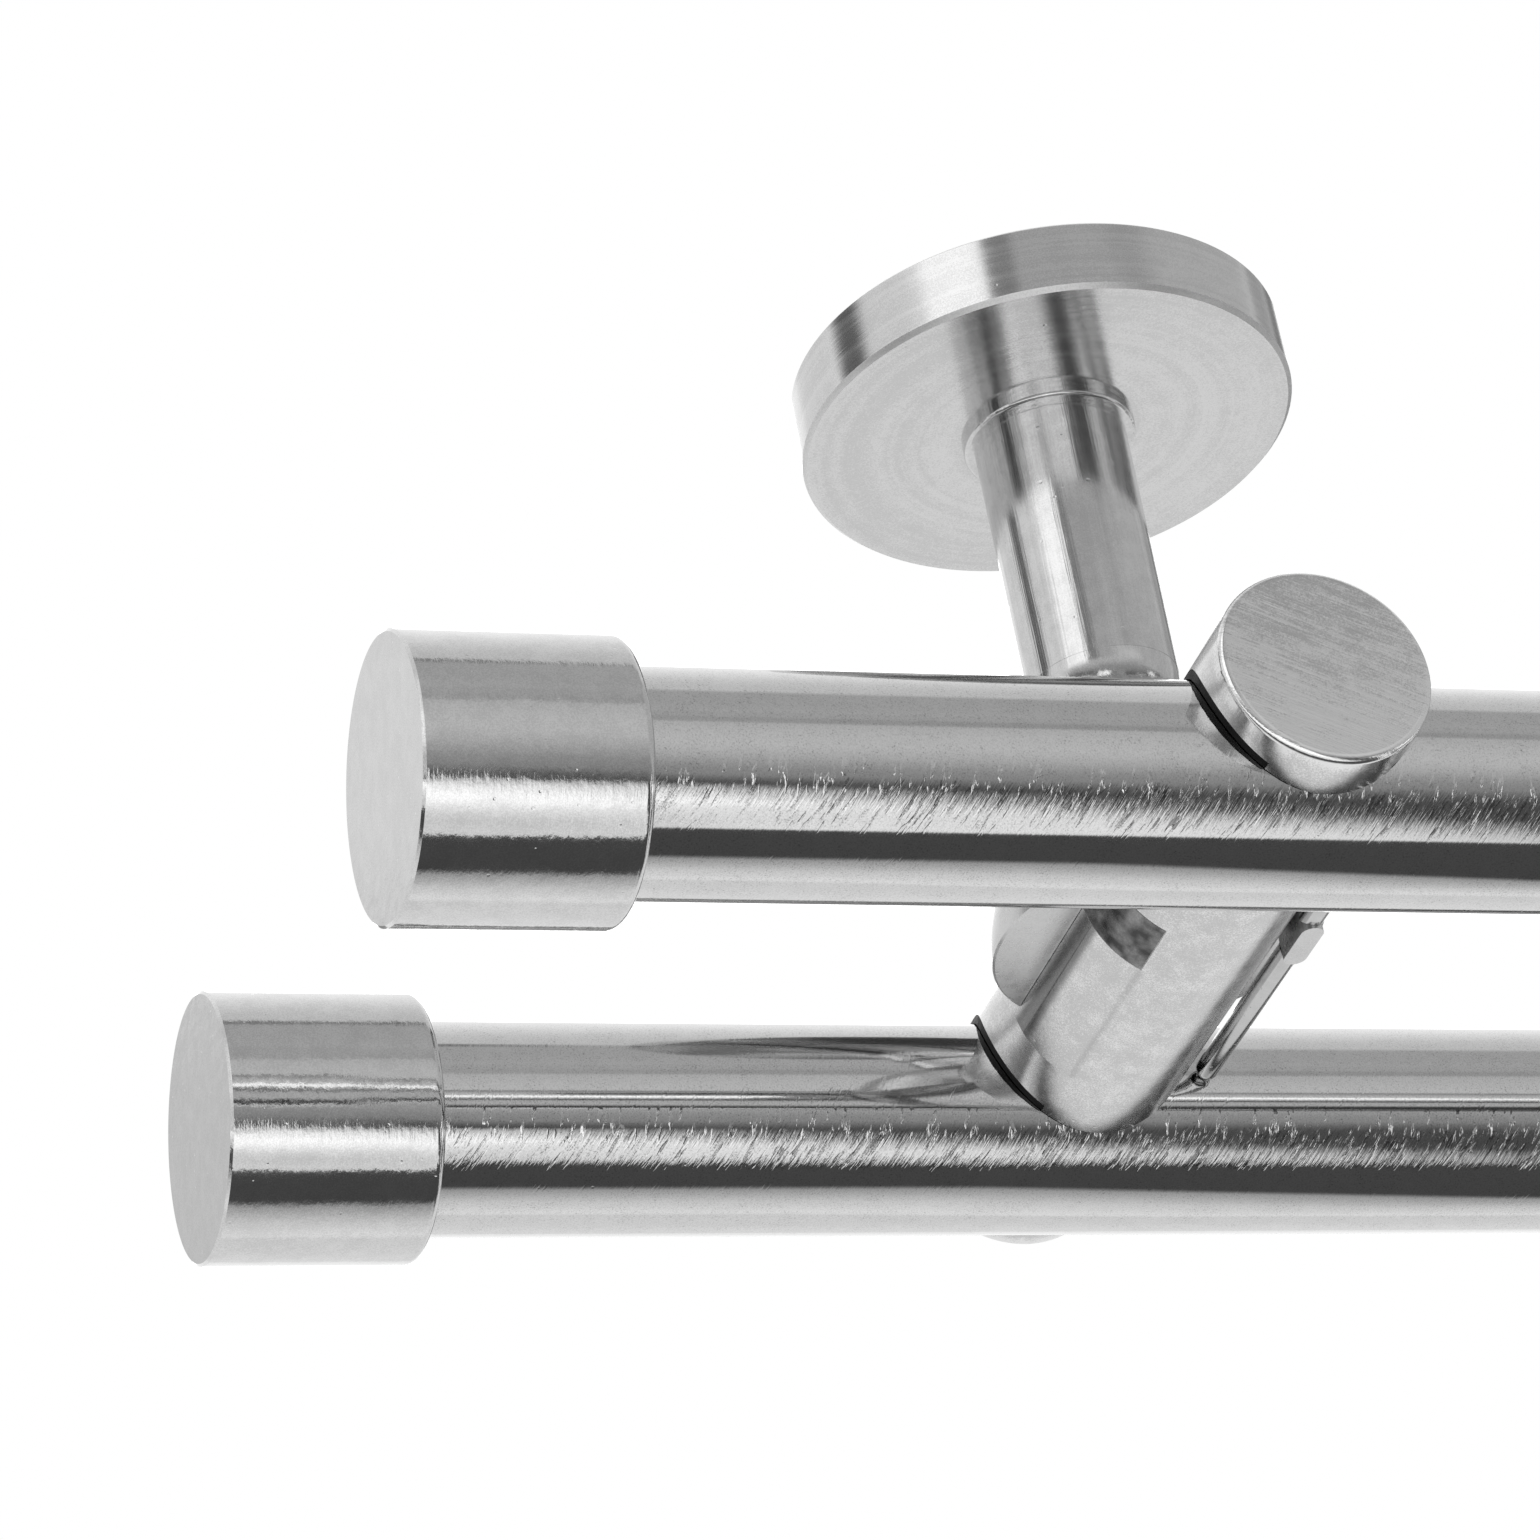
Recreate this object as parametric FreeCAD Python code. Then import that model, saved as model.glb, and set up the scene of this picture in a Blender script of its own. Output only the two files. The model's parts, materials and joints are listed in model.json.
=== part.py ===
import FreeCAD, Part
import math
import os

# Double curtain pole on two ceiling brackets. All sizes are in millimetres.
# The origin is the centre of the left bracket's mounting face on the ceiling.
# +X runs along the poles, +Y points towards the window and +Z points up.

# Poles: two plain tubes side by side at one height
pole_diameter = 20.0
pole_wall = 1.0
pole_length = 1000.0
pole_spacing = 60.0
pole_drop = 67.5
bracket_to_cap_face = 81.0
back_pole_shift = -3.1

# End caps, pushed over the tube ends
cap_wall = 2.35
cap_clearance = 0.15
cap_length = 20.0
cap_face_thickness = 2.5
cap_floor_gap = 0.5
cap_mouth_rounding = 0.9
cap_face_chamfer = 0.25
cap_screw_from_mouth = 6.0

# Ceiling rose: a turned cup over a hidden mounting plate
rose_diameter = 48.0
rose_thickness = 7.5
rose_wall = 2.8
rose_floor = 2.0
rose_edge_chamfer = 0.45
rose_back_rounding = 0.3

# Mounting plate, screwed to the ceiling inside the rose
plate_height = 5.0
plate_web = 2.0
plate_skirt = 2.0
plate_clearance = 0.2
plate_hole_diameter = 4.5
plate_hole_spacing = 26.0

# Stem between rose and hub
stem_top_diameter = 14.8
stem_waist_diameter = 14.4
stem_foot_diameter = 14.2
stem_shoulder_rounding = 5.0
stem_shoulder_turn = 50.0
stem_waist_below_ceiling = 40.4
stem_collar_rim = 1.0
stem_collar_height = 1.1
stem_collar_rounding = 0.35
stem_spigot_diameter = 8.0
stem_spigot_in_arm = 6.0
stem_screw_diameter = 6.0
stem_screw_in_stem = 10.0
stem_screw_bore_spare = 1.0
stem_screw_head_diameter = 11.0
stem_screw_head_height = 2.4
stem_screw_hexagon = 4.0
stem_screw_hexagon_depth = 1.4
stem_screw_head_rounding = 0.7

# Cross arm: one round bar with a notch over each pole
arm_diameter = 19.6
arm_crown = 3.5
arm_end_wall = 3.1
arm_end_rounding = 0.7

# Liners in a pocket of each notch, open towards the floor
liner_thickness = 0.8
liner_pole_clearance = 0.1
liner_inset = 0.05
liner_below_pole_axis = 3.2

# Hub: half a ball, flat side down, that saddles the arm
hub_diameter = 31.0
hub_bottom_above_pole_axis = 3.0
hub_seat_rim = 0.3
hub_edge_chamfer = 0.2

# Lock pins: a tail in the rib under the hub, a shoulder coped to the rib and a ball end on the pole
pin_diameter = 2.2
pin_tail_diameter = 1.4
pin_tail_length = 1.8
pin_side_gap = 0.3
pin_above_pole_axis = 0.5
pin_contact_gap = 0.05
rib_back_end = -2.9
rib_length = 6.5
rib_below_pins = 0.3

# Small fasteners
grub_screw_diameter = 3.0
grub_screw_hexagon = 1.5
grub_screw_hexagon_depth = 1.2
grub_screw_sink = 0.2
fit_clearance = 0.05
edge_match = 0.0001

# Places and sizes that follow
pole_radius = pole_diameter / 2
pole_z = -pole_drop
cap_bore_radius = pole_radius + cap_clearance
cap_radius = cap_bore_radius + cap_wall
notch_radius = pole_radius + liner_pole_clearance + liner_thickness + liner_inset
arm_radius = arm_diameter / 2
arm_z = pole_z + notch_radius + arm_crown - arm_radius
arm_length = pole_spacing + 2 * (notch_radius + arm_end_wall)
hub_radius = hub_diameter / 2
hub_bottom_z = pole_z + hub_bottom_above_pole_axis
hub_seat_radius = stem_foot_diameter / 2 + hub_seat_rim
hub_top_z = hub_bottom_z + math.sqrt(hub_radius ** 2 - hub_seat_radius ** 2)
spigot_length = hub_top_z - arm_z - arm_radius + stem_spigot_in_arm
bracket_spacing = pole_length + 2 * (cap_face_thickness + cap_floor_gap - bracket_to_cap_face)
plate_radius = rose_diameter / 2 - rose_wall - plate_clearance
pin_radius = pin_diameter / 2
pin_x = arm_radius + pin_side_gap + pin_radius
pin_z = pole_z + pin_above_pole_axis
rib_bottom_z = pin_z - pin_radius - rib_below_pins
rib_back_y = rib_back_end - pin_radius
rib_front_y = rib_back_end - rib_length + pin_radius

X = FreeCAD.Vector(1, 0, 0)
Y = FreeCAD.Vector(0, 1, 0)
Z = FreeCAD.Vector(0, 0, 1)


def point(x, y, z):
    return FreeCAD.Vector(x, y, z)


def cylinder(radius, start, direction, length):
    return Part.makeCylinder(radius, length, start, direction)


def turned(profile, axis_point=point(0, 0, 0)):
    """A solid of revolution about a vertical axis, from (radius, z) corners."""
    corners = [axis_point + point(radius, 0, z) for radius, z in profile]
    wire = Part.makePolygon(corners + corners[:1])
    return Part.Face(wire).revolve(axis_point, Z, 360)


def circles_at(shape, radius, coordinate, value):
    """The circular edges of one radius whose centre lies at one height or length along an axis."""
    found = []
    for edge in shape.Edges:
        curve = edge.Curve
        if not isinstance(curve, Part.Circle):
            continue
        same_radius = abs(curve.Radius - radius) < edge_match
        same_place = abs(getattr(curve.Center, coordinate) - value) < edge_match
        if same_radius and same_place:
            found.append(edge)
    return found


def hexagon_socket(across_flats, depth, mouth, inward):
    """The cutter of a hexagon socket, from its mouth inwards."""
    corner_radius = across_flats / math.sqrt(3)
    across = Z if abs(inward.z) < 0.5 else X
    sideways = inward.cross(across)
    corners = []
    for step in range(7):
        angle = math.radians(60 * step)
        corner = across * math.cos(angle) + sideways * math.sin(angle)
        corners.append(mouth + corner * corner_radius)
    return Part.Face(Part.makePolygon(corners)).extrude(inward * depth)


def grub_screw(mouth, inward, length):
    """A headless screw with a hexagon socket, from its outer end inwards."""
    body = cylinder(grub_screw_diameter / 2 - fit_clearance, mouth, inward, length)
    return body.cut(hexagon_socket(grub_screw_hexagon, grub_screw_hexagon_depth, mouth, inward))


def pole(start_x, y):
    outer = cylinder(pole_radius, point(start_x, y, pole_z), X, pole_length)
    inner = cylinder(pole_radius - pole_wall, point(start_x, y, pole_z), X, pole_length)
    return outer.cut(inner)


def cap_screw_x(face_x, inward):
    return face_x + inward * (cap_length - cap_screw_from_mouth)


def end_cap(face_x, inward, y):
    """A cap with its closed face at face_x. Inward is +1 at the left end and -1 at the right end."""
    direction = X * inward
    mouth_x = face_x + inward * cap_length
    body = cylinder(cap_radius, point(face_x, y, pole_z), direction, cap_length)
    body = body.makeFillet(cap_mouth_rounding, circles_at(body, cap_radius, "x", mouth_x))
    body = body.makeChamfer(cap_face_chamfer, circles_at(body, cap_radius, "x", face_x))
    bore_start = point(face_x + inward * cap_face_thickness, y, pole_z)
    body = body.cut(cylinder(cap_bore_radius, bore_start, direction, cap_length))
    screw_axis = point(cap_screw_x(face_x, inward), y, pole_z)
    return body.cut(cylinder(grub_screw_diameter / 2, screw_axis, Z, cap_radius))


def cap_screw(face_x, inward, y):
    outer_z = pole_z + cap_radius - grub_screw_sink
    length = cap_radius - grub_screw_sink - pole_radius - fit_clearance
    return grub_screw(point(cap_screw_x(face_x, inward), y, outer_z), Z * -1, length)


def rose():
    radius = rose_diameter / 2
    inner = radius - rose_wall
    stem_hole = stem_screw_diameter / 2 + fit_clearance
    body = turned([
        (stem_hole, -rose_thickness),
        (radius - rose_edge_chamfer, -rose_thickness),
        (radius, rose_edge_chamfer - rose_thickness),
        (radius, -rose_back_rounding),
        (radius - rose_back_rounding, 0),
        (inner, 0),
        (inner, rose_floor - rose_thickness),
        (stem_hole, rose_floor - rose_thickness),
    ])
    return body.cut(cylinder(grub_screw_diameter / 2, point(0, 0, rose_screw_z()), Y, rose_diameter))


def rose_screw_z():
    return -(plate_web + plate_height) / 2


def rose_screw():
    outer_y = rose_diameter / 2 - grub_screw_sink
    length = outer_y - plate_radius - fit_clearance
    return grub_screw(point(0, outer_y, rose_screw_z()), Y * -1, length)


def mounting_plate():
    inner = plate_radius - plate_skirt
    body = turned([
        (0, 0),
        (plate_radius, 0),
        (plate_radius, -plate_height),
        (inner, -plate_height),
        (inner, -plate_web),
        (0, -plate_web),
    ])
    for side in (-1, 1):
        hole_start = point(side * plate_hole_spacing / 2, 0, -plate_height)
        body = body.cut(cylinder(plate_hole_diameter / 2, hole_start, Z, plate_height))
    return body


def shoulder_depth(turn):
    """How far a stem shoulder has drawn in after turning through an angle."""
    return stem_shoulder_rounding * (1 - math.cos(turn))


def waist():
    """The cutter of the stem's waist, where two rounded shoulders meet."""
    turn = math.radians(stem_shoulder_turn)
    radius = stem_waist_diameter / 2
    height = stem_shoulder_rounding * math.sin(turn)
    bottom = point(radius - shoulder_depth(turn), 0, -stem_waist_below_ceiling)
    upper = bottom + point(shoulder_depth(turn), 0, height)
    lower = bottom + point(shoulder_depth(turn), 0, -height)
    arcs = []
    for mouth, down in ((upper, Z * -1), (lower, Z)):
        half_way = mouth - X * shoulder_depth(turn / 2) + down * stem_shoulder_rounding * math.sin(turn / 2)
        arcs.append(Part.Arc(mouth, half_way, bottom).toShape())
    outside = X * stem_collar_rim
    rim = Part.makePolygon([upper, upper + outside, lower + outside, lower])
    wire = Part.Wire(Part.sortEdges(arcs + rim.Edges)[0])
    return Part.Face(wire).revolve(point(0, 0, 0), Z, 360)


def stem():
    top_z = -rose_thickness
    top_radius = stem_top_diameter / 2
    foot_radius = stem_foot_diameter / 2
    collar_radius = top_radius + stem_collar_rim
    body = turned([
        (0, top_z),
        (collar_radius, top_z),
        (collar_radius, top_z - stem_collar_height),
        (top_radius, top_z - stem_collar_height),
        (stem_waist_diameter / 2, -stem_waist_below_ceiling),
        (foot_radius, hub_top_z),
        (0, hub_top_z),
    ])
    body = body.cut(waist())
    collar_edge = circles_at(body, collar_radius, "z", top_z - stem_collar_height)
    body = body.makeFillet(stem_collar_rounding, collar_edge)
    spigot = cylinder(stem_spigot_diameter / 2, point(0, 0, hub_top_z), Z * -1, spigot_length)
    bore_length = stem_screw_in_stem + stem_screw_bore_spare
    screw_bore = cylinder(stem_screw_diameter / 2 + fit_clearance, point(0, 0, top_z), Z * -1, bore_length)
    return body.fuse(spigot).removeSplitter().cut(screw_bore)


def stem_screw():
    head_bottom = rose_floor - rose_thickness
    shank_length = rose_floor + stem_screw_in_stem
    head = cylinder(stem_screw_head_diameter / 2, point(0, 0, head_bottom), Z, stem_screw_head_height)
    head_top = head_bottom + stem_screw_head_height
    top_edge = circles_at(head, stem_screw_head_diameter / 2, "z", head_top)
    head = head.makeFillet(stem_screw_head_rounding, top_edge)
    shank = cylinder(stem_screw_diameter / 2, point(0, 0, head_bottom), Z * -1, shank_length)
    socket = hexagon_socket(stem_screw_hexagon, stem_screw_hexagon_depth, point(0, 0, head_top), Z * -1)
    return head.fuse(shank).removeSplitter().cut(socket)


def spigot_bore():
    top = point(0, 0, hub_top_z)
    return cylinder(stem_spigot_diameter / 2 + fit_clearance, top, Z * -1, spigot_length + fit_clearance)


def arm_bar(radius, length):
    return cylinder(radius, point(0, -length / 2, arm_z), Y, length)


def pole_space(radius, y):
    return cylinder(radius, point(-arm_diameter, y, pole_z), X, 2 * arm_diameter)


def liner_pocket(y):
    """The wider part of a notch that takes the liner, from just below the pole's axis upwards."""
    corner = point(-arm_diameter, y - arm_diameter, pole_z - liner_below_pole_axis - liner_inset)
    upper = Part.makeBox(2 * arm_diameter, 2 * arm_diameter, arm_diameter, corner)
    return pole_space(notch_radius, y).common(upper)


def cross_arm():
    body = arm_bar(arm_radius, arm_length)
    for side in (-1, 1):
        end = circles_at(body, arm_radius, "y", side * arm_length / 2)
        body = body.makeFillet(arm_end_rounding, end)
    for side in (-1, 1):
        y = side * pole_spacing / 2
        body = body.cut(pole_space(pole_radius + liner_pole_clearance, y)).cut(liner_pocket(y))
    return body.cut(spigot_bore())


def liner(side):
    """The part of a thin sleeve round the pole that lies inside the arm, open along its underside."""
    y = side * pole_spacing / 2
    sleeve = pole_space(notch_radius - liner_inset, y).cut(pole_space(pole_radius + liner_pole_clearance, y))
    body = sleeve.common(arm_bar(arm_radius - liner_inset, arm_length))
    opening_corner = point(-arm_diameter, y - arm_diameter, pole_z - liner_below_pole_axis - arm_diameter)
    return body.cut(Part.makeBox(2 * arm_diameter, 2 * arm_diameter, arm_diameter, opening_corner))


def rib_end(y, spare=0.0):
    """The upright round end of the rib, with some spare room round it."""
    return cylinder(pin_radius + spare, point(pin_x, y, rib_bottom_z), Z, hub_bottom_z - rib_bottom_z)


def pin_rib():
    """A short rib under the hub with round ends, which holds the tails of both lock pins."""
    corner = point(pin_x - pin_radius, rib_front_y, rib_bottom_z)
    rib = Part.makeBox(pin_diameter, rib_back_y - rib_front_y, hub_bottom_z - rib_bottom_z, corner)
    return rib.fuse([rib_end(rib_front_y), rib_end(rib_back_y)]).removeSplitter()


def hub():
    """Half a ball with a small flat seat for the stem, cut out to sit on the arm."""
    centre = point(0, 0, hub_bottom_z)
    seat_latitude = math.degrees(math.acos(hub_seat_radius / hub_radius))
    body = Part.makeSphere(hub_radius, centre, Z, 0, seat_latitude, 360)
    body = body.makeChamfer(hub_edge_chamfer, circles_at(body, hub_radius, "z", hub_bottom_z))
    body = body.fuse(pin_rib()).removeSplitter()
    body = body.cut(arm_bar(arm_radius + fit_clearance, arm_length))
    body = body.cut(spigot_bore())
    tail_bore_start = point(pin_x, rib_back_end - rib_length, pin_z)
    return body.cut(cylinder(pin_tail_diameter / 2 + fit_clearance, tail_bore_start, Y, rib_length))


def lock_pin(side):
    """A pin from the rib to one pole, with a ball end that rests on the pole."""
    reach = pole_radius + pin_radius + pin_contact_gap
    ball_y = side * (pole_spacing / 2 - math.sqrt(reach ** 2 - pin_above_pole_axis ** 2))
    end_y = rib_back_y if side > 0 else rib_front_y
    shank = cylinder(pin_radius, point(pin_x, end_y, pin_z), Y * side, abs(ball_y - end_y))
    shank = shank.cut(rib_end(end_y, fit_clearance))
    tail_start = point(pin_x, end_y - side * pin_tail_length, pin_z)
    tail = cylinder(pin_tail_diameter / 2, tail_start, Y * side, pin_tail_length + 2 * pin_radius)
    ball = Part.makeSphere(pin_radius, point(pin_x, ball_y, pin_z))
    return shank.fuse([tail, ball]).removeSplitter()


def bracket():
    """The pieces of one bracket, around its own axis."""
    return {
        "rose": rose(),
        "rose_screw": rose_screw(),
        "mounting_plate": mounting_plate(),
        "stem": stem(),
        "stem_screw": stem_screw(),
        "hub": hub(),
        "cross_arm": cross_arm(),
        "front_liner": liner(-1),
        "back_liner": liner(1),
        "front_lock_pin": lock_pin(-1),
        "back_lock_pin": lock_pin(1),
    }


def build():
    nodes = {}
    for name, y, shift in (("front", -pole_spacing / 2, 0.0), ("back", pole_spacing / 2, back_pole_shift)):
        left_face = shift - bracket_to_cap_face
        right_face = left_face + pole_length + 2 * (cap_face_thickness + cap_floor_gap)
        nodes[name + "_pole"] = pole(left_face + cap_face_thickness + cap_floor_gap, y)
        for end, face_x, inward in (("left", left_face, 1), ("right", right_face, -1)):
            nodes[name + "_" + end + "_cap"] = end_cap(face_x, inward, y)
            nodes[name + "_" + end + "_cap_screw"] = cap_screw(face_x, inward, y)
    for piece, shape in bracket().items():
        nodes["left_" + piece] = shape
        moved = shape.copy()
        moved.translate(X * bracket_spacing)
        nodes["right_" + piece] = moved
    return nodes


os.makedirs("parts", exist_ok=True)
for node, shape in build().items():
    shape.exportStep("parts/" + node + ".step")
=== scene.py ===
import bmesh
import bpy
import json
from math import cos, radians, sin
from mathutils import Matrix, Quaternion, Vector

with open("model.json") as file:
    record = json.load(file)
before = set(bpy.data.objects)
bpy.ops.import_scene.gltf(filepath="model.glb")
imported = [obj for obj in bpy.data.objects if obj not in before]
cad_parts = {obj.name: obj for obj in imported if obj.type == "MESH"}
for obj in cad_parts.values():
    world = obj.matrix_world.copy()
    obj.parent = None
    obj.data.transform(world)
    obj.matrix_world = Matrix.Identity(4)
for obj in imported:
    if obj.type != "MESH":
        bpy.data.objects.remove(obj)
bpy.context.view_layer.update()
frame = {"nodes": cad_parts, "record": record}
scene = bpy.context.scene

# Places shared with the solids, in metres
POLE_Y = 0.030
POLE_Z = -0.0675
BRACKET_X = 0.844
BRACKET_MIDDLE = BRACKET_X / 2

PER_METRE = 1000.0          # millimetres in a metre
MICROMETRE = 0.000001       # in metres, for the depth of grain

# Most values of a noise lie between these two.
NOISE_LOW = 0.3
NOISE_MIDDLE = 0.5
NOISE_HIGH = 0.7

# The marks on the poles lie between two angles below the front, in degrees, with a soft edge.
# The scratched strip fades towards the left end, between two places in millimetres.
SCRATCHED_STRIP = (30.0, 50.0, 7.0)
BURRED_STRIP = (21.0, 33.0, 9.0)
STRIP_FADE = (-60.0, -15.0, 0.45, 1.0)
SCRATCH_SLANT = radians(57)
ROUND_TUBE_Y = 0.539
ROUND_TUBE_Z = -0.842

# The slot in the left side of each arm and the flat strip behind it, in millimetres.
# The flat's turn is from facing down.
SLOT_FRONT = -12.9
SLOT_BACK = -6.1
SLOT_LOW = -71.05
SLOT_HIGH = -64.4
LEFT_SIDE = (-14.0, -4.5, 0.2)
FLAT_BACK = 13.5
FLAT_HIGH = -66.4
FLAT_TURN = radians(40)
GROOVE_SHADE_BELOW = 0.7          # how far the painted shade of the groove reaches under the flat's top edge and over it
GROOVE_SHADE_ABOVE = 1.5
SEAM_HALF_WIDTH = 0.15
SHARP_EDGE = 0.12           # width over which an edge of the slot comes and goes
ARM_END = (42.0, 43.5)      # the filed ends begin between these distances from the middle
FILING_SLOPE = radians(-23)


# Small helpers for node trees

def put(tree, kind, *values, **settings):
    """Adds a node, gives it its settings, and fills its inputs with numbers or links."""
    made = tree.nodes.new(kind)
    for name, value in settings.items():
        setattr(made, name, value)
    for place, value in enumerate(values):
        fill(tree, made.inputs[place], value)
    return made


def fill(tree, socket, value):
    if value is None:
        return
    if isinstance(value, bpy.types.NodeSocket):
        tree.links.new(value, socket)
    else:
        socket.default_value = value


def reckon(tree, operation, *values):
    return put(tree, "ShaderNodeMath", *values, operation=operation).outputs[0]


def plus(tree, first, second):
    return reckon(tree, "ADD", first, second)


def minus(tree, first, second):
    return reckon(tree, "SUBTRACT", first, second)


def times(tree, first, second):
    return reckon(tree, "MULTIPLY", first, second)


def larger(tree, first, second):
    return reckon(tree, "MAXIMUM", first, second)


def reckon_vector(tree, operation, first, second=None):
    return put(tree, "ShaderNodeVectorMath", first, second, operation=operation).outputs[0]


def along(tree, place, direction):
    """The distance of a place along a direction."""
    made = put(tree, "ShaderNodeVectorMath", place, direction, operation="DOT_PRODUCT")
    return made.outputs["Value"]


def parts_of(tree, vector):
    """The x, y and z of a vector."""
    return put(tree, "ShaderNodeSeparateXYZ", vector).outputs


def joined(tree, x, y, z):
    return put(tree, "ShaderNodeCombineXYZ", x, y, z).outputs[0]


def ranged(tree, value, low, high, new_low=0.0, new_high=1.0, way="LINEAR"):
    return put(tree, "ShaderNodeMapRange", value, low, high, new_low, new_high,
               interpolation_type=way).outputs[0]


def blended(tree, share, first, second):
    """A number that goes from the first to the second as the share goes from 0 to 1."""
    return put(tree, "ShaderNodeMix", share, None, first, second).outputs[0]


def stepped(tree, value, stops, ease="EASE"):
    """A number read off a row of stops (place, number), the places in rising order."""
    low, high = stops[0][0], stops[-1][0]
    made = put(tree, "ShaderNodeValToRGB", ranged(tree, value, low, high))
    ramp = made.color_ramp
    ramp.interpolation = ease
    for place, _ in stops[1:-1]:
        ramp.elements.new((place - low) / (high - low))
    for stop, (_, number) in zip(ramp.elements, stops):
        stop.color = grey(number)
    return made.outputs[0]


def grey(tone):
    return (tone, tone, tone, 1.0)


def noise(tree, place, scale=1.0, detail=2.0, roughness=0.5):
    made = put(tree, "ShaderNodeTexNoise", place, noise_dimensions="3D")
    fill(tree, made.inputs["Scale"], scale)
    fill(tree, made.inputs["Detail"], detail)
    fill(tree, made.inputs["Roughness"], roughness)
    return made.outputs["Fac"]


def swing(tree, value):
    """A noise value counted from its middle."""
    return minus(tree, value, NOISE_MIDDLE)


def new_group(name, inputs, outputs):
    """An empty node group with named sockets; returns its tree, its givens and its results."""
    tree = bpy.data.node_groups.new(name, "ShaderNodeTree")
    for label, kind, value in inputs:
        socket = tree.interface.new_socket(label, in_out="INPUT", socket_type=kind)
        socket.default_value = value
    for label in outputs:
        tree.interface.new_socket(label, in_out="OUTPUT", socket_type="NodeSocketFloat")
    given = tree.nodes.new("NodeGroupInput")
    result = tree.nodes.new("NodeGroupOutput")
    return tree, given.outputs, result.inputs


def use_group(tree, group, **inputs):
    """Puts a group in a tree and returns its results."""
    made = tree.nodes.new("ShaderNodeGroup")
    made.node_tree = group
    for name, value in inputs.items():
        fill(tree, made.inputs[name.replace("_", " ").capitalize()], value)
    return made.outputs


NUMBER = "NodeSocketFloat"
VECTOR = "NodeSocketVector"


# Effects that several finishes share

def make_brushing():
    """Fine parallel strokes: noise squeezed across the strokes and drawn out along them."""
    tree, given, result = new_group(
        "brushing",
        [("Place", VECTOR, (0, 0, 0)), ("Fine", NUMBER, 1.0), ("Patches", NUMBER, 0.5)],
        ["Strokes", "Broad"])
    fine = noise(tree, given["Place"], detail=3.0, roughness=0.65)
    coarser = reckon_vector(tree, "MULTIPLY", given["Place"], (0.21, 0.5, 0.5))
    broad = noise(tree, coarser)
    stroke = times(tree, swing(tree, fine), given["Fine"])
    drift = times(tree, swing(tree, broad), given["Patches"])
    fill(tree, result["Strokes"], plus(tree, stroke, drift))
    fill(tree, result["Broad"], broad)
    return tree


def make_scratches():
    """Single long scratches that come in patches, as a groove depth between 0 and 1."""
    tree, given, result = new_group(
        "scratches",
        [("Place", VECTOR, (0, 0, 0)), ("Threshold", NUMBER, 0.6), ("Patch scale", NUMBER, 0.12)],
        ["Groove"])
    lines = noise(tree, given["Place"], detail=1.5)
    groove = ranged(tree, minus(tree, lines, given["Threshold"]), 0.0, 0.08)
    patch = noise(tree, given["Place"], given["Patch scale"], detail=1.0)
    there = ranged(tree, patch, 0.42, 0.6)
    fill(tree, result["Groove"], times(tree, groove, there))
    return tree


def make_pitting():
    """Tiny pits and a faint cloudiness, in millimetres of the object's own coordinates."""
    tree, given, result = new_group(
        "pitting",
        [("Place", VECTOR, (0, 0, 0)), ("Pit spacing", NUMBER, 1.2), ("Pit size", NUMBER, 0.12)],
        ["Pits", "Cloud"])
    closeness = reckon(tree, "DIVIDE", 1.0, given["Pit spacing"])
    cells = put(tree, "ShaderNodeTexVoronoi", given["Place"], voronoi_dimensions="3D")
    fill(tree, cells.inputs["Scale"], closeness)
    radius = times(tree, given["Pit size"], closeness)
    depth = minus(tree, radius, cells.outputs["Distance"])
    fill(tree, result["Pits"], ranged(tree, depth, 0.0, 0.05))
    fill(tree, result["Cloud"], noise(tree, given["Place"], 0.45, detail=4.0, roughness=0.7))
    return tree


def make_soft_band():
    """A mask that is 1 between two values and falls off softly outside them."""
    tree, given, result = new_group(
        "soft_band",
        [("Value", NUMBER, 0.0), ("Start", NUMBER, 0.0), ("End", NUMBER, 1.0),
         ("Softness", NUMBER, 0.1)],
        ["Mask"])
    half = times(tree, given["Softness"], 0.5)
    begun, ended = [
        ranged(tree, given["Value"], minus(tree, given[side], half), plus(tree, given[side], half),
               way="SMOOTHSTEP")
        for side in ("Start", "End")]
    fill(tree, result["Mask"], times(tree, begun, minus(tree, 1.0, ended)))
    return tree


BRUSHING = make_brushing()
SCRATCHES = make_scratches()
PITTING = make_pitting()
SOFT_BAND = make_soft_band()


def inside(tree, *bands):
    """One mask from several soft bands, each (value, start, end, softness)."""
    mask = None
    for value, start, end, softness in bands:
        band = use_group(tree, SOFT_BAND, value=value, start=start, end=end,
                         softness=softness)["Mask"]
        mask = band if mask is None else times(tree, mask, band)
    return mask


# Places on the pieces

def own_place(tree):
    return put(tree, "ShaderNodeTexCoord").outputs["Object"]


def millimetres(tree, place):
    return reckon_vector(tree, "MULTIPLY", place, (PER_METRE, PER_METRE, PER_METRE))


def in_millimetres(tree, centre=(0.0, 0.0, 0.0)):
    """The piece's own coordinates, measured in millimetres from a centre."""
    return millimetres(tree, reckon_vector(tree, "SUBTRACT", own_place(tree), centre))


def from_bracket(tree):
    """Millimetres from the axis of the nearer bracket, so both brackets are finished alike."""
    x, y, z = parts_of(tree, own_place(tree))
    second = reckon(tree, "GREATER_THAN", x, BRACKET_MIDDLE)
    sideways = minus(tree, x, times(tree, second, BRACKET_X))
    return millimetres(tree, joined(tree, sideways, y, z))


def squeezed(tree, place, across, first, second):
    """Coordinates that run fast along 'across' and slowly along the other two directions."""
    return joined(tree, along(tree, place, across), along(tree, place, first),
                  along(tree, place, second))


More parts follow.
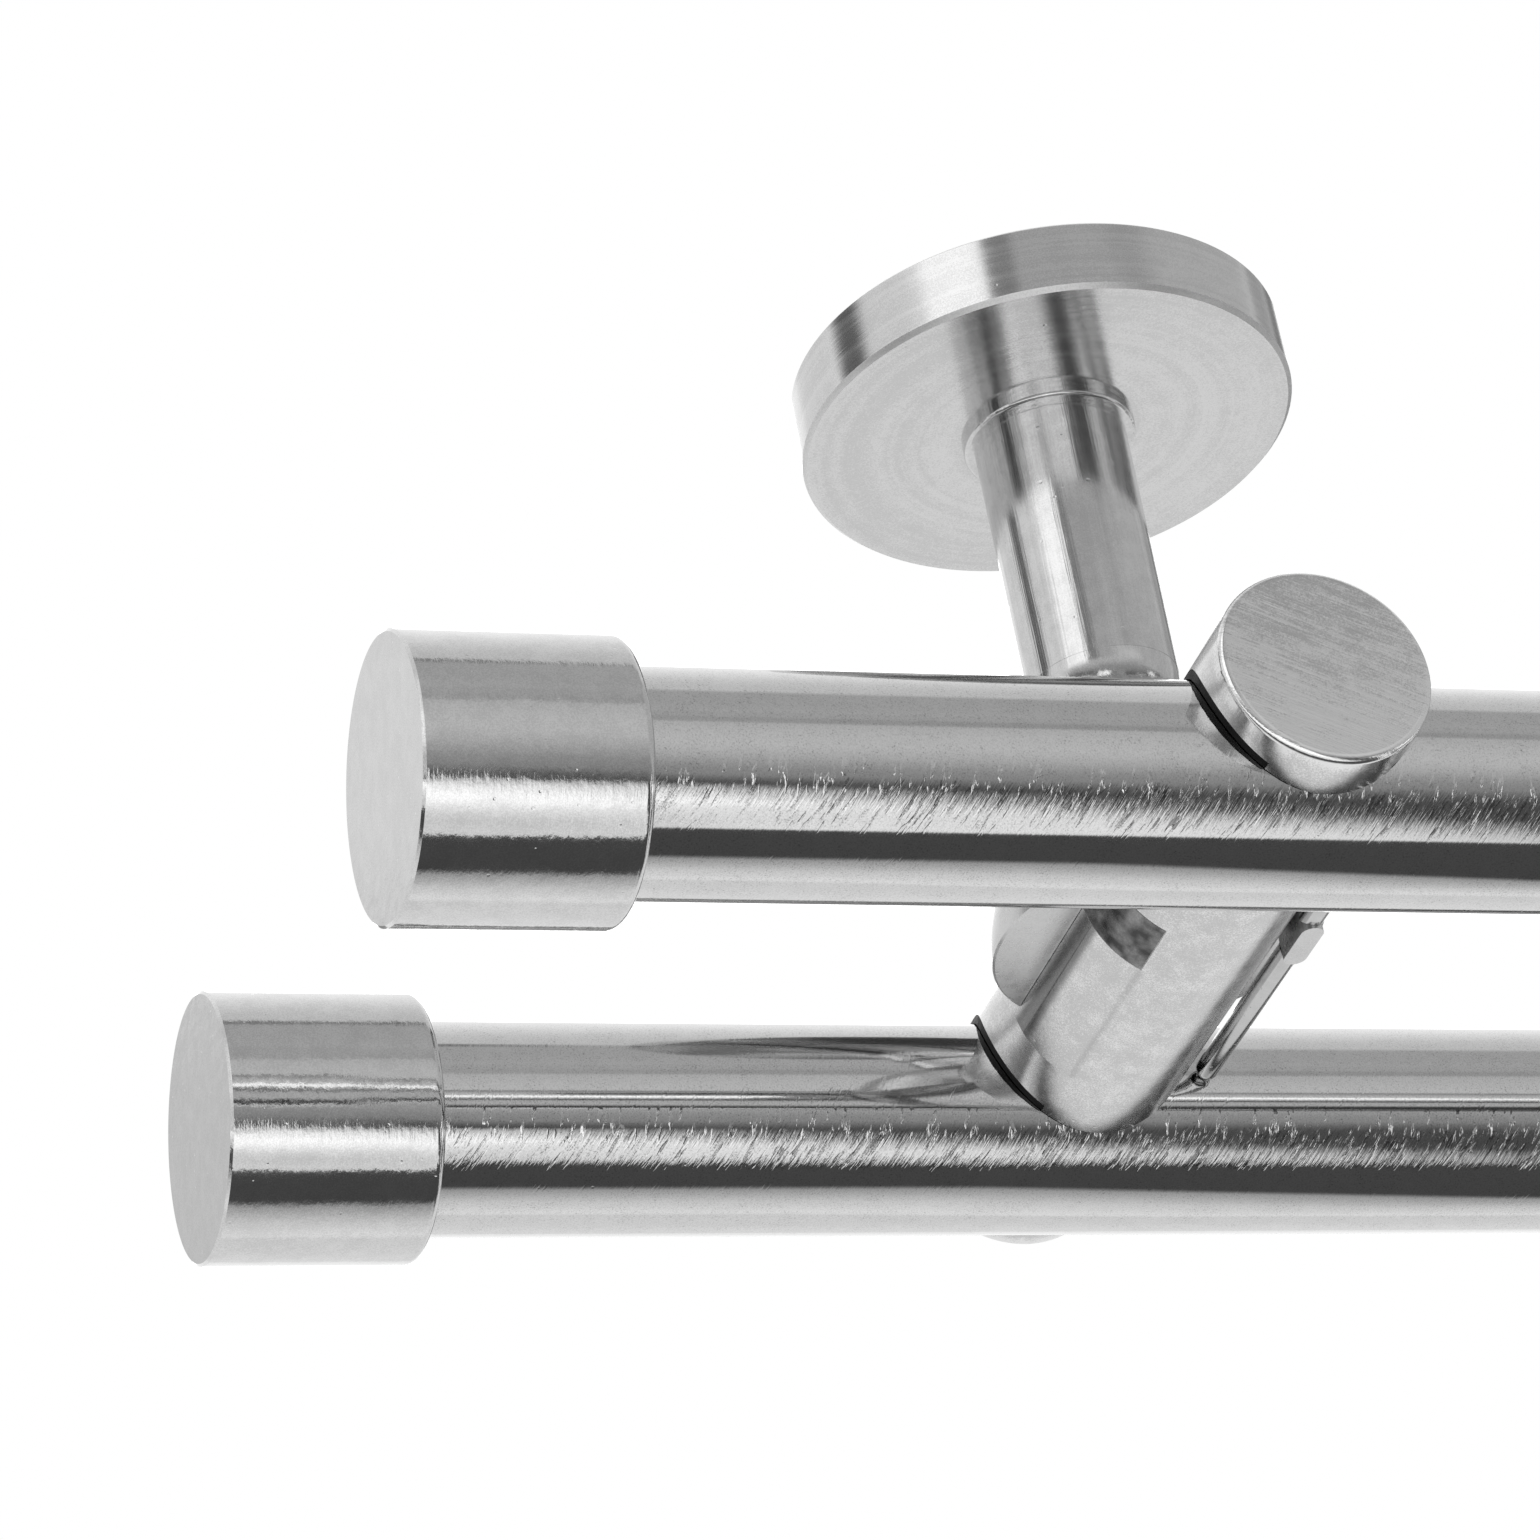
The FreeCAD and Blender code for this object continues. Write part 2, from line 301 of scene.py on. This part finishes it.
def turned(tree, place, rings, layers, drift):
    """Coordinates of a piece turned about an upright axis: outwards, up and slowly round it."""
    x, y, z = parts_of(tree, place)
    radius = reckon(tree, "SQRT", plus(tree, times(tree, x, x), times(tree, y, y)))
    return joined(tree, times(tree, radius, rings), times(tree, z, layers), times(tree, x, drift))


# Parts of a finish

def metal(name, tone, roughness):
    """A bare metal with its shader; returns the material, its tree and its shader."""
    made = bpy.data.materials.new(name)
    made.use_nodes = True
    tree = made.node_tree
    shader = tree.nodes["Principled BSDF"]
    shader.inputs["Metallic"].default_value = 1.0
    shader.inputs["Base Color"].default_value = grey(tone)
    shader.inputs["Roughness"].default_value = roughness
    return made, tree, shader


def toned(tree, shader, value, dark, light, warm=0.0):
    """Lets a 0-1 value move the metal's tone between dark and light; returns the colour's node."""
    made = put(tree, "ShaderNodeValToRGB", value)
    for stop, place, tone in zip(made.color_ramp.elements, (NOISE_LOW, NOISE_HIGH), (dark, light)):
        stop.position = place
        stop.color = (tone + warm, tone, tone - warm, 1.0)
    fill(tree, shader.inputs["Base Color"], made.outputs[0])
    return made


def roughened(tree, shader, value, smooth, rough):
    """Lets a noise value move the roughness between smooth and rough."""
    fill(tree, shader.inputs["Roughness"], satin(tree, value, smooth, rough))


def satin(tree, value, smooth, rough):
    return ranged(tree, value, NOISE_LOW, NOISE_HIGH, smooth, rough)


def bumped(tree, shader, height, distance, normal=None):
    bump = put(tree, "ShaderNodeBump")
    fill(tree, bump.inputs["Distance"], distance)
    fill(tree, bump.inputs["Height"], height)
    fill(tree, bump.inputs["Normal"], normal)
    fill(tree, shader.inputs["Normal"], bump.outputs[0])


def brushed(tree, place, fine=1.0, patches=0.5):
    return use_group(tree, BRUSHING, place=place, fine=fine, patches=patches)


def scratched(tree, place, threshold, patch_scale):
    made = use_group(tree, SCRATCHES, place=place, threshold=threshold, patch_scale=patch_scale)
    return made["Groove"]


def pitted(tree, place, spacing, size):
    made = use_group(tree, PITTING, place=place, pit_spacing=spacing, pit_size=size)
    return made["Pits"], made["Cloud"]


def less_pits(tree, height, pits, depth):
    return minus(tree, height, times(tree, pits, depth))


def grained(tree, place, value, share):
    """Adds a fine grain, a fraction of a millimetre across, to a 0-1 value."""
    grain = noise(tree, place, 7.0)
    return plus(tree, value, times(tree, swing(tree, grain), share))


# Finishes. The numbers of strokes, scratches and rings are noise waves per millimetre, pits are
# given by their spacing and size in millimetres, and tones and roughness go from 0 to 1.

def pole_finish():
    """Polished tube, with a strip of short slanting scratches down its front, burrs above them."""
    made, tree, shader = metal("pole_steel", tone=0.6, roughness=0.1)
    place = in_millimetres(tree, (0.0, 0.0, POLE_Z))
    x, y, z = parts_of(tree, place)
    # Each pole's own axis: the angle round it, 0 at the front and 90 underneath.
    outwards = minus(tree, reckon(tree, "ABSOLUTE", y), PER_METRE * POLE_Y)
    forward = times(tree, outwards, minus(tree, 0.0, reckon(tree, "SIGN", y)))
    turn = reckon(tree, "DEGREES", reckon(tree, "ARCTAN2", times(tree, z, -1.0), forward))

    slanting = Vector((sin(SCRATCH_SLANT), cos(SCRATCH_SLANT) * ROUND_TUBE_Y,
                       cos(SCRATCH_SLANT) * ROUND_TUBE_Z))
    fine = brushed(tree, squeezed(tree, place, 3.1 * slanting,
                                  (-0.14, 0.24, 0.14), (0.14, -0.14, 0.24)), patches=0.3)
    bold = scratched(tree, squeezed(tree, place, 3.0 * slanting,
                                    (-0.16, 0.26, 0.16), (0.16, -0.16, 0.26)),
                     threshold=0.56, patch_scale=0.15)
    burrs = scratched(tree, squeezed(tree, place, (2.6, 0.0, -0.4),
                                     (0.0, 0.55, 0.0), (0.0, 0.0, 0.55)),
                      threshold=0.58, patch_scale=0.5)
    pits, cloud = pitted(tree, place, spacing=3.0, size=0.16)
    strip = times(tree, inside(tree, (turn, *SCRATCHED_STRIP)), ranged(tree, x, *STRIP_FADE))
    above = inside(tree, (turn, *BURRED_STRIP))

    # Deep in the strip, and hardly to be seen outside it.
    cuts = plus(tree, fine["Strokes"], times(tree, bold, -0.8))
    height = times(tree, cuts, blended(tree, strip, 0.05, 0.9))
    height = less_pits(tree, height, pits, depth=0.15)
    height = plus(tree, height, times(tree, times(tree, burrs, above), 0.7))
    bumped(tree, shader, height, 50 * MICROMETRE)

    # Scratches are darker than the polish between them.
    scored = times(tree, ranged(tree, fine["Strokes"], 0.03, 0.13), 0.75)
    scored = times(tree, times(tree, larger(tree, scored, bold), strip), -0.75)
    grain = grained(tree, place, reckon(tree, "MULTIPLY_ADD", cloud, 0.5, 0.25), share=1.6)
    colour = toned(tree, shader, plus(tree, grain, scored), dark=0.565, light=0.66)
    colour.color_ramp.elements.new(0.0).color = grey(0.26)
    roughened(tree, shader, cloud, smooth=0.05, rough=0.085)
    return made


def cap_finish():
    """Turned cap, brushed round its axis, with tiny specks on the flat face."""
    made, tree, shader = metal("cap_steel", tone=0.62, roughness=0.14)
    place = in_millimetres(tree, (0.0, 0.0, POLE_Z))
    strokes = brushed(tree, squeezed(tree, place, (4.0, 0.0, 0.0),
                                     (0.0, 0.1, 0.0), (0.0, 0.0, 0.1)), fine=0.5, patches=0.3)
    waves = brushed(tree, squeezed(tree, place, (1.7, 0.0, 0.0),
                                   (0.0, 0.9, 0.0), (0.0, 0.0, 0.9)), fine=1.1, patches=1.3)
    pits, cloud = pitted(tree, place, spacing=1.7, size=0.16)
    height = plus(tree, strokes["Strokes"], waves["Strokes"])
    bumped(tree, shader, less_pits(tree, height, pits, depth=0.8), 14 * MICROMETRE)
    toned(tree, shader, grained(tree, place, cloud, share=1.6), dark=0.56, light=0.66)
    roughened(tree, shader, cloud, smooth=0.07, rough=0.11)
    return made


def rose_finish():
    """Turned rose: rings on the flat underside, fine strokes round the rim."""
    made, tree, shader = metal("rose_steel", tone=0.62, roughness=0.12)
    place = from_bracket(tree)
    strokes = brushed(tree, turned(tree, place, rings=2.2, layers=3.0, drift=0.035), patches=0.6)
    pits, cloud = pitted(tree, place, spacing=3.0, size=0.2)
    bumped(tree, shader, less_pits(tree, strokes["Strokes"], pits, depth=0.8), 10 * MICROMETRE)

    # Softer on the rim than underneath, and dull on the narrow edge between them.
    facing = parts_of(tree, put(tree, "ShaderNodeNewGeometry").outputs["Normal"])
    upright = reckon(tree, "ABSOLUTE", facing[2])
    rings = times(tree, swing(tree, strokes["Broad"]), blended(tree, upright, 0.4, 0.85))
    rings = reckon(tree, "MULTIPLY_ADD", strokes["Strokes"], 0.5, rings)
    rings = plus(tree, reckon(tree, "MULTIPLY_ADD", cloud, 0.6, 0.2), rings)
    toned(tree, shader, grained(tree, place, rings, share=1.5), dark=0.56, light=0.66)
    edge = inside(tree, (upright, 0.15, 0.93, 0.1))
    even = satin(tree, strokes["Broad"], smooth=0.12, rough=0.17)
    fill(tree, shader.inputs["Roughness"], blended(tree, edge, even, 0.42))
    return made


def stem_finish():
    """Drawn bar, polished along its length."""
    made, tree, shader = metal("stem_steel", tone=0.6, roughness=0.13)
    place = from_bracket(tree)
    strokes = brushed(tree, squeezed(tree, place, (2.6, 0.0, 0.0),
                                     (0.0, 2.6, 0.0), (0.0, 0.0, 0.06)), patches=0.8)
    pits, cloud = pitted(tree, place, spacing=1.8, size=0.2)
    bumped(tree, shader, less_pits(tree, strokes["Strokes"], pits, depth=0.6), 20 * MICROMETRE)
    streaks = plus(tree, cloud, times(tree, strokes["Strokes"], 0.5))
    toned(tree, shader, grained(tree, place, streaks, share=0.8), dark=0.54, light=0.65)
    roughened(tree, shader, strokes["Broad"], smooth=0.11, rough=0.18)
    return made


def hub_finish():
    """Turned half ball with a polished flat."""
    made, tree, shader = metal("hub_steel", tone=0.62, roughness=0.12)
    place = from_bracket(tree)
    strokes = brushed(tree, turned(tree, place, rings=1.6, layers=2.2, drift=0.05), patches=0.6)
    pits, cloud = pitted(tree, place, spacing=2.0, size=0.2)
    bumped(tree, shader, less_pits(tree, strokes["Strokes"], pits, depth=0.8), 8 * MICROMETRE)
    toned(tree, shader, grained(tree, place, cloud, share=0.9), dark=0.55, light=0.65)
    roughened(tree, shader, cloud, smooth=0.24, rough=0.32)
    return made


def filing(tree, place, closeness, on_stroke):
    """Coordinates for strokes that slope over the arm's ends."""
    rise, run = cos(FILING_SLOPE), sin(FILING_SLOPE)
    return squeezed(tree, place, (-closeness * run, 0.0, closeness * rise),
                    (0.0, 0.08, 0.0), (on_stroke * rise, 0.0, on_stroke * run))


def flattened(tree, share):
    """The surface's own facing, turned towards the flat strip's where the share is 1."""
    mixed = put(tree, "ShaderNodeMix", data_type="VECTOR")
    fill(tree, mixed.inputs["Factor"], share)
    fill(tree, mixed.inputs[4], put(tree, "ShaderNodeNewGeometry").outputs["Normal"])
    fill(tree, mixed.inputs[5], (-sin(FLAT_TURN), 0.0, -cos(FLAT_TURN)))
    return reckon_vector(tree, "NORMALIZE", mixed.outputs[1])


def arm_finish():
    """Bar with filed ends, satin along its length, with a slot and a flat in its left side."""
    made, tree, shader = metal("arm_steel", tone=0.6, roughness=0.15)
    place = from_bracket(tree)
    x, y, z = parts_of(tree, place)
    filed = brushed(tree, filing(tree, place, closeness=6.0, on_stroke=0.2))
    scored = scratched(tree, filing(tree, place, closeness=1.8, on_stroke=0.12),
                       threshold=0.6, patch_scale=0.4)
    pits, cloud = pitted(tree, place, spacing=1.7, size=0.2)
    at_end = ranged(tree, reckon(tree, "ABSOLUTE", y), *ARM_END)
    strokes = times(tree, filed["Strokes"], blended(tree, at_end, 0.12, 1.0))

    # A slot, and behind it a flat strip with a groove along its top, drawn only as a band of
    # painted shade, and a faint seam below.
    left = (x, *LEFT_SIDE)
    behind = (y, SLOT_BACK, FLAT_BACK, SHARP_EDGE)
    slot = inside(tree, (y, SLOT_FRONT, SLOT_BACK, SHARP_EDGE),
                  (z, SLOT_LOW, SLOT_HIGH, SHARP_EDGE), left)
    flat = inside(tree, behind, (z, SLOT_LOW, FLAT_HIGH, 0.25), left)
    seam = inside(tree, behind,
                  (z, SLOT_LOW - SEAM_HALF_WIDTH, SLOT_LOW + SEAM_HALF_WIDTH, 0.25), left)
    groove = inside(tree, behind,
                    (z, FLAT_HIGH - GROOVE_SHADE_BELOW, FLAT_HIGH + GROOVE_SHADE_ABOVE, 1.0), left)

    height = less_pits(tree, strokes, pits, depth=0.4)
    height = minus(tree, height, times(tree, slot, 9.0))
    height = minus(tree, height, times(tree, seam, 1.5))
    bumped(tree, shader, height, 16 * MICROMETRE, flattened(tree, flat))

    # Painted light: the ends are painted lighter towards their lower edge, and single scratches on
    # them are painted lighter as glints.
    painted_light_below = reckon(tree, "MULTIPLY_ADD", z, -0.03, -1.68)
    painted_light_on_end = reckon(tree, "MULTIPLY_ADD", scored, 0.45, painted_light_below)
    lines = plus(tree, cloud, times(tree, strokes, 1.1))
    lines = plus(tree, minus(tree, lines, 0.1), times(tree, at_end, painted_light_on_end))
    lines = grained(tree, place, lines, share=1.3)
    # This tone carries the painted light of the ends.
    bare = toned(tree, shader, lines, dark=0.55, light=0.77).outputs[0]

    # Painted shade: dark in the slot and dim in the groove. The seam is a dark joint, a little
    # darker.
    # How dark the painted shade in the slot is, mottled.
    depth = ranged(tree, noise(tree, place, 0.5), 0.35, 0.65, 0.93, 0.6)
    painted_shade_and_seam = larger(tree, times(tree, slot, depth), times(tree, groove, 0.68))
    painted_shade_and_seam = larger(tree, painted_shade_and_seam, times(tree, seam, 0.16))
    painted_shade_mix = put(tree, "ShaderNodeMix", data_type="RGBA")
    fill(tree, painted_shade_mix.inputs["Factor"], painted_shade_and_seam)
    fill(tree, painted_shade_mix.inputs[6], bare)
    fill(tree, painted_shade_mix.inputs[7], grey(0.02))
    fill(tree, shader.inputs["Base Color"], painted_shade_mix.outputs[2])
    even = satin(tree, cloud, smooth=0.19, rough=0.26)
    fill(tree, shader.inputs["Roughness"], blended(tree, at_end, even, 0.15))
    return made


def small_metal_finish(name, dark, light, smooth, rough, warm=0.0):
    """Plainer metal of the pins, screws and plates."""
    made, tree, shader = metal(name, tone=light, roughness=rough)
    pits, cloud = pitted(tree, in_millimetres(tree), spacing=0.9, size=0.14)
    bumped(tree, shader, minus(tree, cloud, pits), 10 * MICROMETRE)
    toned(tree, shader, cloud, dark, light, warm)
    roughened(tree, shader, cloud, smooth, rough)
    return made


def liner_finish():
    """Black moulded plastic with a fine grain."""
    made, tree, shader = metal("liner_nylon", tone=0.02, roughness=0.5)
    shader.inputs["Metallic"].default_value = 0.0
    shader.inputs["Specular IOR Level"].default_value = 0.08
    pits, cloud = pitted(tree, in_millimetres(tree), spacing=0.5, size=0.2)
    bumped(tree, shader, minus(tree, cloud, pits), 20 * MICROMETRE)
    toned(tree, shader, cloud, dark=0.003, light=0.01)
    roughened(tree, shader, cloud, smooth=0.42, rough=0.6)
    return made


finish_of_slot = {
    "pole_steel": pole_finish(),
    "cap_steel": cap_finish(),
    "rose_steel": rose_finish(),
    "stem_steel": stem_finish(),
    "hub_steel": hub_finish(),
    "arm_steel": arm_finish(),
    "pin_steel": small_metal_finish("pin_steel", dark=0.5, light=0.58, smooth=0.1, rough=0.2),
    "screw_steel": small_metal_finish("screw_steel", dark=0.4, light=0.5, smooth=0.22, rough=0.36),
    "plate_steel": small_metal_finish("plate_steel", dark=0.48, light=0.58, smooth=0.26, rough=0.4,
                                      warm=0.012),
    "liner_nylon": liner_finish(),
}
for subpart in frame["record"]["subparts"]:
    dressed = frame["nodes"][subpart["node"]]
    for slot in dressed.material_slots:
        slot.material = finish_of_slot[subpart["material_slot"]]


# Studio

# The room's brightness by the angle below the front, in degrees: from the back over the top,
# down the front and under the object.
ROOM_LIGHT = [
    (-122, 1.1), (-75, 0.75), (-70, 0.5), (-58, 0.5), (-10, 0.7), (18, 0.43), (28, 0.2),
    (90, 0.1), (112, 0.6), (130, 0.96)]

# What stands in the room, each with its brightness and the ranges that it fills, with soft edges.
# The dip is counted as above. The compass is 0 behind the object, 90 at its right and -90 at its
# left, and the rise is the angle above the horizon.
ROOM_CARDS = {
    "seam of the ceiling": (0.24, ("dip", -73.5, -69.5, 2.0), ("x", -0.6, 0.28, 0.03)),
    "left wall": (0.90, ("compass", -107.0, -78.0, 6.0), ("rise", -15.0, 43.0, 8.0)),
    "gap behind the left wall": (
        0.14, ("compass", -75.0, -56.0, 9.0), ("rise", -15.0, 43.0, 8.0)),
    "front wall": (0.50, ("compass", -200.0, -158.0, 8.0), ("rise", 5.0, 42.0, 8.0)),
    "front left lamp": (
        1.45, ("compass", -142.0, -60.0, 3.0), ("compass", -200.0, -108.0, 14.0),
        ("rise", 6.0, 56.0, 12.0)),
    "gap beside the front left lamp": (
        0.28, ("compass", -156.0, -143.0, 6.0), ("rise", 6.0, 56.0, 12.0)),
    "back left card": (0.90, ("compass", -50.0, -12.0, 6.0), ("rise", 18.0, 43.0, 8.0)),
    "back right gap": (0.24, ("compass", 40.0, 56.0, 6.0), ("rise", 18.0, 42.0, 6.0)),
    "foot of the back right gap": (0.20, ("compass", 31.0, 56.0, 6.0), ("rise", 4.0, 19.0, 6.0)),
    "low back card": (0.70, ("compass", -22.0, 5.0, 6.0), ("rise", 22.0, 29.6, 2.0)),
    "right wall, back part": (0.42, ("compass", 56.0, 76.0, 8.0), ("rise", -15.0, 42.0, 8.0)),
    "right wall": (0.58, ("compass", 77.0, 141.0, 10.0), ("rise", -15.0, 42.0, 8.0)),
    "front right wall": (0.50, ("compass", 138.0, 200.0, 10.0), ("rise", 30.8, 42.0, 2.5)),
    "shade on the front right wall": (
        0.42, ("compass", 146.0, 159.0, 10.0), ("rise", 30.8, 36.0, 2.5)),
    "back right lamp": (2.60, ("compass", 8.0, 33.0, 8.0), ("rise", 22.0, 42.0, 6.0)),
}


def build_studio():
    """A pale room with soft lamps, grey cards and dark gaps, which the metal mirrors."""
    world = bpy.data.worlds.new("studio")
    scene.world = world
    world.use_nodes = True
    tree = world.node_tree
    tree.nodes.clear()
    x, y, z = parts_of(tree, put(tree, "ShaderNodeTexCoord").outputs["Generated"])
    down = times(tree, z, -1.0)
    front = times(tree, y, -1.0)
    measures = {
        "x": x,
        "dip": reckon(tree, "DEGREES", reckon(tree, "ARCTAN2", down, front)),
        "compass": reckon(tree, "DEGREES", reckon(tree, "ARCTAN2", x, y)),
        "rise": reckon(tree, "DEGREES", reckon(tree, "ARCSINE", z)),
    }
    light = stepped(tree, measures["dip"], ROOM_LIGHT)
    for brightness, *ranges in ROOM_CARDS.values():
        bands = [(measures[name], *limits) for name, *limits in ranges]
        light = blended(tree, inside(tree, *bands), light, brightness)

    # Seen directly, the room is plain white.
    rays = put(tree, "ShaderNodeLightPath")
    shown = blended(tree, rays.outputs["Is Camera Ray"], light, 1.0)
    backing = put(tree, "ShaderNodeBackground", grey(1.0), shown)
    fill(tree, put(tree, "ShaderNodeOutputWorld").inputs["Surface"], backing.outputs[0])


# The floor, and the cards and papers that polished metal sees lying on it, in metres
FLOOR_Z = -0.34
FLOOR_RADIUS = 2.6
FLOOR_FADE = (0.45, 0.97)   # shares of the radius between which the floor fades to white

# Under the object and behind it, by the distance beyond the paper's near edge
PAPER_LIGHT = [
    (-1.9, 0.5), (-0.8, 0.34), (-0.53, 0.10), (0.040, 0.08), (0.056, 0.46), (0.14, 0.87),
    (0.23, 1.06), (0.262, 1.06), (0.278, 0.92), (0.9, 0.97)]
PAPER_SLANT = (0.09, 0.9, 0.08)     # where its near edge begins to slant, how much, how far at most

# The bright card in front of the object, by its y
CARD_DEPTH = (-0.485, -0.107, 0.010)
CARD_LIGHT = [(-0.55, 0.0), (-0.38, 1.45), (-0.32, 1.63), (-0.16, 0.9), (-0.105, 1.0)]
CARD_RIGHT_LIGHT = 1.14
CARD_RIGHT_PART = ((0.035, 0.4, 0.02), (-0.24, -0.09, 0.03))
CARD_END = [(-0.48, 0.10), (-0.32, 0.08), (-0.24, 0.11), (-0.17, 0.158), (-0.1, 0.17)]
CARD_END_FADE = (-0.055, 0.08)

# Two more white papers: brightness, range of x and range of y
MIDDLE_PAPER = (1.25, (0.36, 0.7, 0.08), (-0.5, 0.10, 0.1))
LEFT_PAPER = (1.5, (-0.30, 0.05, 0.04), (-0.68, -0.46, 0.05))


def mirrored_cards(tree):
    """What polished metal sees on the floor: a card in front, a dark gap, white paper behind."""
    x, y, _ = parts_of(tree, own_place(tree))
    # The cards lie in mirror image under both brackets.
    from_middle = reckon(tree, "ABSOLUTE", minus(tree, x, BRACKET_MIDDLE))
    x = minus(tree, BRACKET_MIDDLE, from_middle)

    slant_start, slant, slant_most = PAPER_SLANT
    slanting = times(tree, larger(tree, minus(tree, x, slant_start), 0.0), slant)
    beyond_edge = minus(tree, y, reckon(tree, "MINIMUM", slanting, slant_most))
    paper = stepped(tree, beyond_edge, PAPER_LIGHT, "LINEAR")

    right_x, right_y = CARD_RIGHT_PART
    right_part = inside(tree, (x, *right_x), (y, *right_y))
    card = blended(tree, right_part, stepped(tree, y, CARD_LIGHT), CARD_RIGHT_LIGHT)
    past_end = minus(tree, x, stepped(tree, y, CARD_END, "LINEAR"))
    lit = minus(tree, 1.0, ranged(tree, past_end, *CARD_END_FADE, way="SMOOTHSTEP"))
    level = blended(tree, times(tree, lit, inside(tree, (y, *CARD_DEPTH))), paper, card)
    for brightness, sideways, depth in (MIDDLE_PAPER, LEFT_PAPER):
        level = blended(tree, inside(tree, (x, *sideways), (y, *depth)), level, brightness)
    return level


def paint_floor(paint):
    """Pale and matt, white at its rim, and clear from below."""
    paint.use_nodes = True
    tree = paint.node_tree
    tree.nodes.clear()
    centre = (BRACKET_MIDDLE, 0.0, FLOOR_Z)
    away = put(tree, "ShaderNodeVectorMath", own_place(tree), centre, operation="DISTANCE")
    fade_start, fade_end = (FLOOR_RADIUS * share for share in FLOOR_FADE)
    rim = ranged(tree, away.outputs["Value"], fade_start, fade_end, way="SMOOTHSTEP")
    matt = put(tree, "ShaderNodeBsdfDiffuse", grey(0.88)).outputs[0]
    white = put(tree, "ShaderNodeEmission", grey(1.0), 1.0).outputs[0]
    faded = put(tree, "ShaderNodeMixShader", rim, matt, white).outputs[0]
    cards = put(tree, "ShaderNodeEmission", grey(1.0), mirrored_cards(tree)).outputs[0]
    mirrored = put(tree, "ShaderNodeLightPath").outputs["Is Glossy Ray"]
    seen = put(tree, "ShaderNodeMixShader", mirrored, faded, cards).outputs[0]
    clear = put(tree, "ShaderNodeBsdfTransparent").outputs[0]
    below = put(tree, "ShaderNodeNewGeometry").outputs["Backfacing"]
    whole = put(tree, "ShaderNodeMixShader", below, seen, clear).outputs[0]
    fill(tree, put(tree, "ShaderNodeOutputMaterial").inputs["Surface"], whole)


def build_floor():
    form = bmesh.new()
    bmesh.ops.create_circle(form, cap_ends=True, cap_tris=False, segments=96, radius=FLOOR_RADIUS)
    bmesh.ops.translate(form, vec=(BRACKET_MIDDLE, 0.0, FLOOR_Z), verts=form.verts)
    shape = bpy.data.meshes.new("floor")
    form.to_mesh(shape)
    form.free()
    floor = bpy.data.objects.new("floor", shape)
    scene.collection.objects.link(floor)
    paint = bpy.data.materials.new("floor_paint")
    paint_floor(paint)
    shape.materials.append(paint)


def build_lamp():
    """One wide soft lamp overhead, which draws the object's shadow on the floor."""
    lamp = bpy.data.lights.new("overhead_softbox", "AREA")
    lamp.shape = "RECTANGLE"
    lamp.size = 1.6
    lamp.size_y = 0.9
    lamp.energy = 22.0
    holder = bpy.data.objects.new("overhead_softbox", lamp)
    holder.location = (BRACKET_MIDDLE - 0.2, -0.15, 1.3)
    scene.collection.objects.link(holder)
    holder.visible_glossy = False
    holder.visible_camera = False


# The camera, fitted to the outlines in the photograph
CAMERA_PLACE = (-0.20940, -0.43406, -0.32439)
CAMERA_TURN = radians(21.915)       # to the right
CAMERA_CLIMB = radians(30.695)
CAMERA_ROLL = radians(10.361)
LENS_MM = 139.263
SENSOR_MM = 36.0


def build_camera():
    """The camera looks up at the left bracket from below, in front and to the left."""
    lens = bpy.data.cameras.new("camera")
    lens.sensor_width = SENSOR_MM
    lens.lens = LENS_MM
    lens.clip_start = 0.01
    camera = bpy.data.objects.new("camera", lens)
    scene.collection.objects.link(camera)
    aim = Vector((sin(CAMERA_TURN) * cos(CAMERA_CLIMB), cos(CAMERA_TURN) * cos(CAMERA_CLIMB),
                  sin(CAMERA_CLIMB)))
    camera.location = CAMERA_PLACE
    camera.rotation_mode = "QUATERNION"
    camera.rotation_quaternion = (aim.to_track_quat("-Z", "Y")
                                  @ Quaternion((0, 0, 1), -CAMERA_ROLL))
    scene.camera = camera


build_studio()
build_floor()
build_lamp()
build_camera()
scene.view_settings.view_transform = "Standard"
